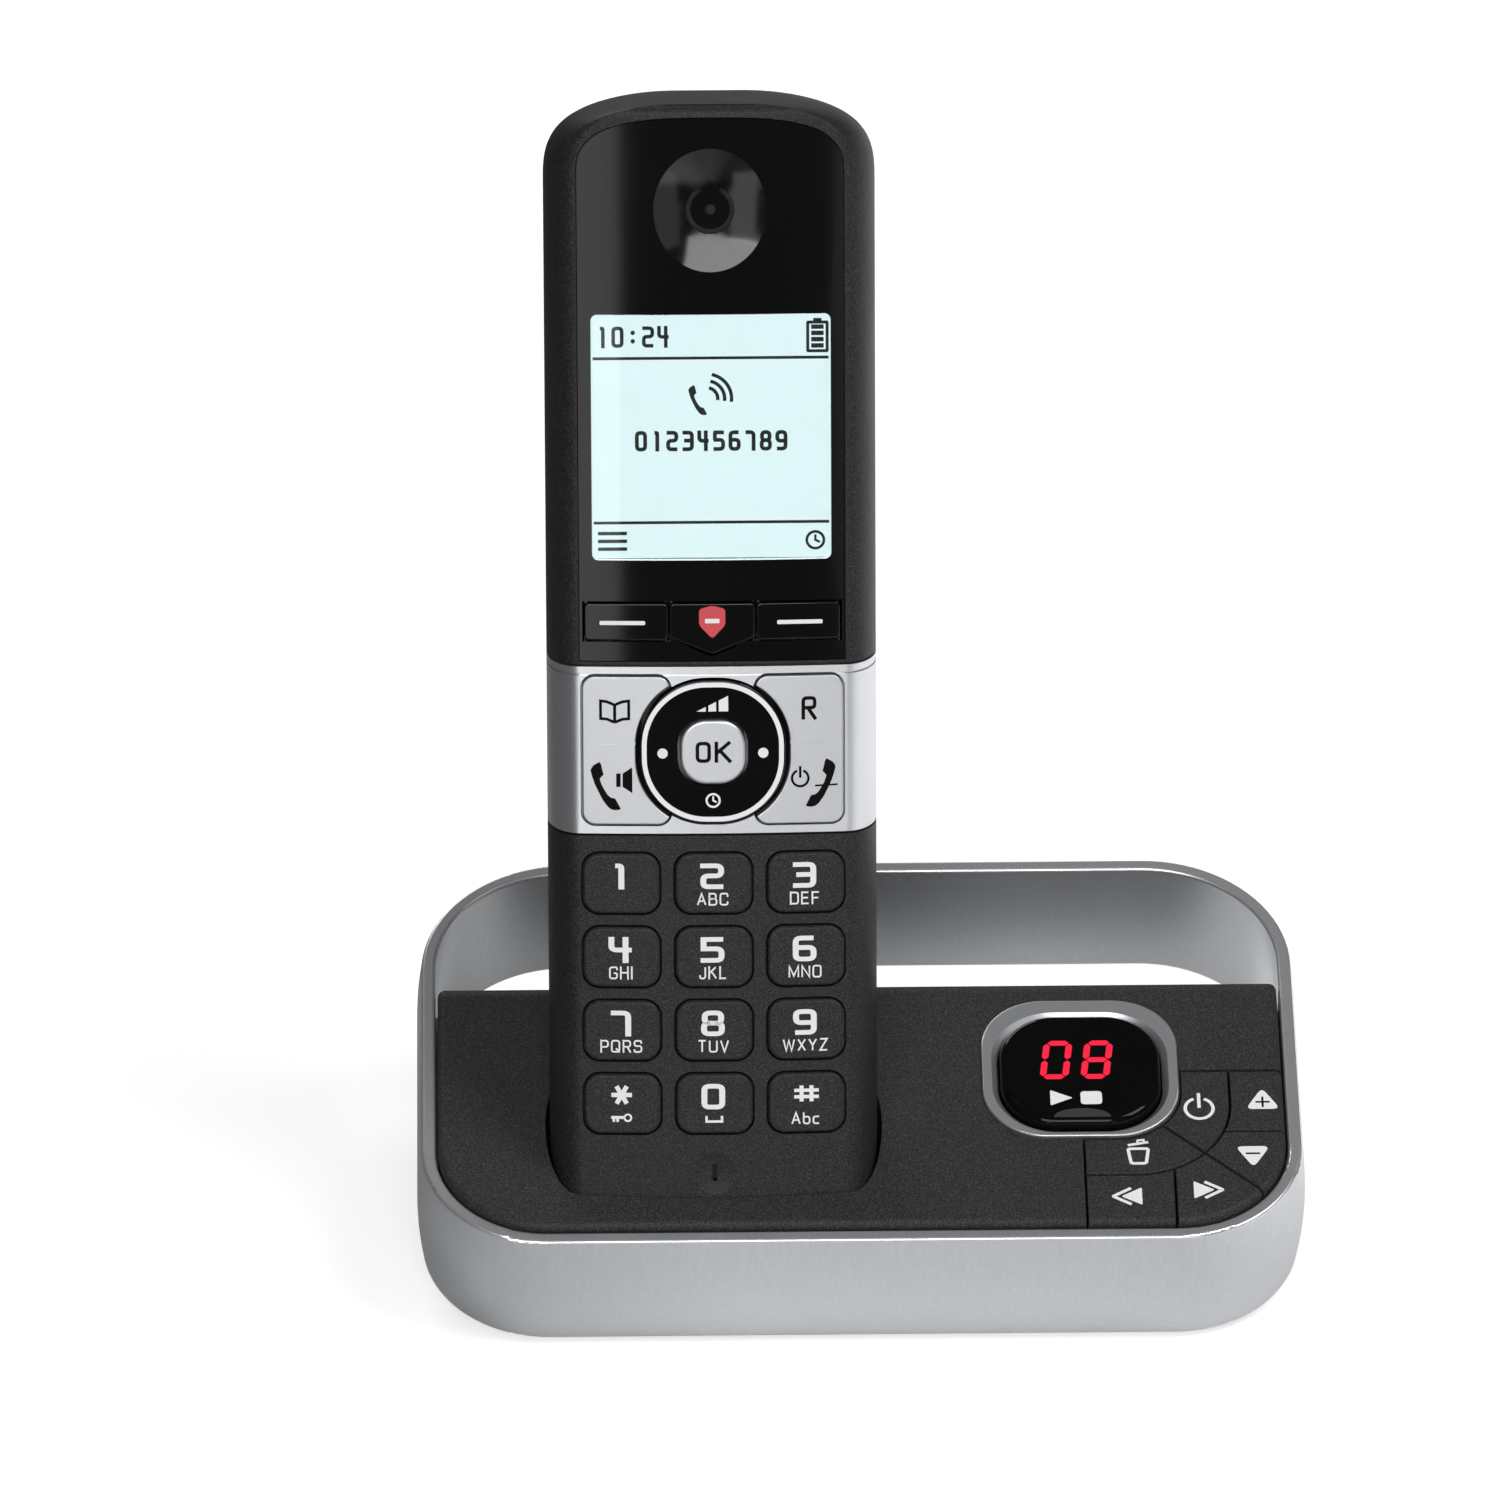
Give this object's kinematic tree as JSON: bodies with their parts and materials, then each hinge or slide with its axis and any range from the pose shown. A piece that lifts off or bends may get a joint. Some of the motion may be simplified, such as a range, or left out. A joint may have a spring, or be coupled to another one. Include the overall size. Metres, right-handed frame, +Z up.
{
  "type": "cordless phone",
  "caption": "Black and silver cordless phone with a keypad and a display, leaning in a charging base with message keys and a looped silver rim.",
  "frame": {"origin": "middle of the overall box on the table", "axes": "+Z up, -Y towards the user who faces the keypad, +X to the right of the keypad, where the message keys are"},
  "size_m": [0.1306, 0.0796, 0.1775],
  "materials": {
    "black_plastic": "fine matt grain",
    "gloss_black": "high gloss",
    "silver_paint": "satin silver lacquer",
    "clear_window": "clear, polished",
    "red_lens": "dark tinted, polished",
    "rubber": "matt",
    "board": "solder mask",
    "steel": "plated",
    "cell_jacket": "printed sleeve",
    "module": "moulded"
  },
  "bodies": {
    "base": {"base_ring": "silver_paint", "base_top_cover": "black_plastic", "base_bottom_cover": "black_plastic", "base_feet": "rubber", "base_screws": "steel", "base_circuit_board": "board", "base_key_mat": "rubber", "base_speaker": "module", "message_display": "module", "display_bezel": "silver_paint", "charging_contacts": "steel", "line_socket": "module", "power_inlet": "module"},
    "handset": {"handset_front_cover": "black_plastic", "handset_rear_cover": "black_plastic", "handset_band": "silver_paint", "front_panel": "gloss_black", "display_window": "clear_window", "display_module": "module", "handset_circuit_board": "board", "handset_key_mat": "rubber", "earpiece": "module", "handset_loudspeaker": "module", "microphone": "module", "battery_cells": "cell_jacket", "battery_contacts": "steel", "handset_contacts": "steel", "handset_screws": "steel"},
    "power_key": {"power_key": "black_plastic"},
    "plus_key": {"plus_key": "black_plastic"},
    "minus_key": {"minus_key": "black_plastic"},
    "delete_key": {"delete_key": "black_plastic"},
    "rewind_key": {"rewind_key": "black_plastic"},
    "forward_key": {"forward_key": "black_plastic"},
    "play_stop_lens": {"play_stop_lens": "red_lens"},
    "key_1": {"key_1": "black_plastic"},
    "key_2": {"key_2": "black_plastic"},
    "key_3": {"key_3": "black_plastic"},
    "key_4": {"key_4": "black_plastic"},
    "key_5": {"key_5": "black_plastic"},
    "key_6": {"key_6": "black_plastic"},
    "key_7": {"key_7": "black_plastic"},
    "key_8": {"key_8": "black_plastic"},
    "key_9": {"key_9": "black_plastic"},
    "key_star": {"key_star": "black_plastic"},
    "key_0": {"key_0": "black_plastic"},
    "key_hash": {"key_hash": "black_plastic"},
    "soft_key_left": {"soft_key_left": "gloss_black"},
    "soft_key_middle": {"soft_key_middle": "gloss_black"},
    "soft_key_right": {"soft_key_right": "gloss_black"},
    "function_plate_left": {"function_plate_left": "silver_paint"},
    "function_plate_right": {"function_plate_right": "silver_paint"},
    "ok_key": {"ok_key": "silver_paint"},
    "battery_door": {"battery_door": "black_plastic"},
    "navigation_pad": {"navigation_pad": "rubber"},
    "navigation_ring": {"navigation_ring": "gloss_black", "navigation_trim": "silver_paint"}
  },
  "joints": [
    {"name": "handset_lift", "type": "slide", "parent": "base", "child": "handset", "axis": [0, 0.2924, 0.9563], "range_m": [0, 0.06]},
    {"name": "power_key_press", "type": "slide", "parent": "base", "child": "power_key", "axis": [0, 0.2756, -0.9613], "range_m": [0, 0.0008], "stiffness_N_per_m": 300},
    {"name": "plus_key_press", "type": "slide", "parent": "base", "child": "plus_key", "axis": [0, 0.2756, -0.9613], "range_m": [0, 0.0008], "stiffness_N_per_m": 300},
    {"name": "minus_key_press", "type": "slide", "parent": "base", "child": "minus_key", "axis": [0, 0.2756, -0.9613], "range_m": [0, 0.0008], "stiffness_N_per_m": 300},
    {"name": "delete_key_press", "type": "slide", "parent": "base", "child": "delete_key", "axis": [0, 0.2756, -0.9613], "range_m": [0, 0.0008], "stiffness_N_per_m": 300},
    {"name": "rewind_key_press", "type": "slide", "parent": "base", "child": "rewind_key", "axis": [0, 0.2756, -0.9613], "range_m": [0, 0.0008], "stiffness_N_per_m": 300},
    {"name": "forward_key_press", "type": "slide", "parent": "base", "child": "forward_key", "axis": [0, 0.2756, -0.9613], "range_m": [0, 0.0008], "stiffness_N_per_m": 300},
    {"name": "play_stop_lens_press", "type": "slide", "parent": "base", "child": "play_stop_lens", "axis": [0, 0.2756, -0.9613], "range_m": [0, 0.0008], "stiffness_N_per_m": 300},
    {"name": "key_1_press", "type": "slide", "parent": "handset", "child": "key_1", "axis": [0, 0.9563, -0.2924], "range_m": [0, 0.0007], "stiffness_N_per_m": 300},
    {"name": "key_2_press", "type": "slide", "parent": "handset", "child": "key_2", "axis": [0, 0.9563, -0.2924], "range_m": [0, 0.0007], "stiffness_N_per_m": 300},
    {"name": "key_3_press", "type": "slide", "parent": "handset", "child": "key_3", "axis": [0, 0.9563, -0.2924], "range_m": [0, 0.0007], "stiffness_N_per_m": 300},
    {"name": "key_4_press", "type": "slide", "parent": "handset", "child": "key_4", "axis": [0, 0.9563, -0.2924], "range_m": [0, 0.0007], "stiffness_N_per_m": 300},
    {"name": "key_5_press", "type": "slide", "parent": "handset", "child": "key_5", "axis": [0, 0.9563, -0.2924], "range_m": [0, 0.0007], "stiffness_N_per_m": 300},
    {"name": "key_6_press", "type": "slide", "parent": "handset", "child": "key_6", "axis": [0, 0.9563, -0.2924], "range_m": [0, 0.0007], "stiffness_N_per_m": 300},
    {"name": "key_7_press", "type": "slide", "parent": "handset", "child": "key_7", "axis": [0, 0.9563, -0.2924], "range_m": [0, 0.0007], "stiffness_N_per_m": 300},
    {"name": "key_8_press", "type": "slide", "parent": "handset", "child": "key_8", "axis": [0, 0.9563, -0.2924], "range_m": [0, 0.0007], "stiffness_N_per_m": 300},
    {"name": "key_9_press", "type": "slide", "parent": "handset", "child": "key_9", "axis": [0, 0.9563, -0.2924], "range_m": [0, 0.0007], "stiffness_N_per_m": 300},
    {"name": "key_star_press", "type": "slide", "parent": "handset", "child": "key_star", "axis": [0, 0.9563, -0.2924], "range_m": [0, 0.0007], "stiffness_N_per_m": 300},
    {"name": "key_0_press", "type": "slide", "parent": "handset", "child": "key_0", "axis": [0, 0.9563, -0.2924], "range_m": [0, 0.0007], "stiffness_N_per_m": 300},
    {"name": "key_hash_press", "type": "slide", "parent": "handset", "child": "key_hash", "axis": [0, 0.9563, -0.2924], "range_m": [0, 0.0007], "stiffness_N_per_m": 300},
    {"name": "soft_key_left_press", "type": "slide", "parent": "handset", "child": "soft_key_left", "axis": [0, 0.9563, -0.2924], "range_m": [0, 0.0007], "stiffness_N_per_m": 300},
    {"name": "soft_key_middle_press", "type": "slide", "parent": "handset", "child": "soft_key_middle", "axis": [0, 0.9563, -0.2924], "range_m": [0, 0.0007], "stiffness_N_per_m": 300},
    {"name": "soft_key_right_press", "type": "slide", "parent": "handset", "child": "soft_key_right", "axis": [0, 0.9563, -0.2924], "range_m": [0, 0.0007], "stiffness_N_per_m": 300},
    {"name": "ok_key_press", "type": "slide", "parent": "handset", "child": "ok_key", "axis": [0, 0.9563, -0.2924], "range_m": [0, 0.0007], "stiffness_N_per_m": 300},
    {"name": "function_plate_left_rock", "type": "hinge", "parent": "handset", "child": "function_plate_left", "pos_m": [-0.0217, -0.00973, 0.08752], "axis": [1, 0, 0], "range_deg": [-1.8, 1.8], "stiffness_Nm_per_rad": 0.5},
    {"name": "function_plate_right_rock", "type": "hinge", "parent": "handset", "child": "function_plate_right", "pos_m": [-0.0217, -0.00973, 0.08752], "axis": [1, 0, 0], "range_deg": [-1.8, 1.8], "stiffness_Nm_per_rad": 0.5},
    {"name": "navigation_side_rock", "type": "hinge", "parent": "handset", "child": "navigation_pad", "pos_m": [-0.0217, -0.0097, 0.08625], "axis": [0, 0.2924, 0.9563], "range_deg": [-1.8, 1.8], "stiffness_Nm_per_rad": 0.5},
    {"name": "navigation_up_rock", "type": "hinge", "parent": "navigation_pad", "child": "navigation_ring", "pos_m": [-0.0217, -0.0097, 0.08625], "axis": [1, 0, 0], "range_deg": [-1.8, 1.8], "stiffness_Nm_per_rad": 0.5},
    {"name": "battery_door_swing", "type": "hinge", "parent": "handset", "child": "battery_door", "pos_m": [-0.0217, -0.00067, 0.04397], "axis": [-1, 0, 0], "range_deg": [0, 70]}
  ]
}
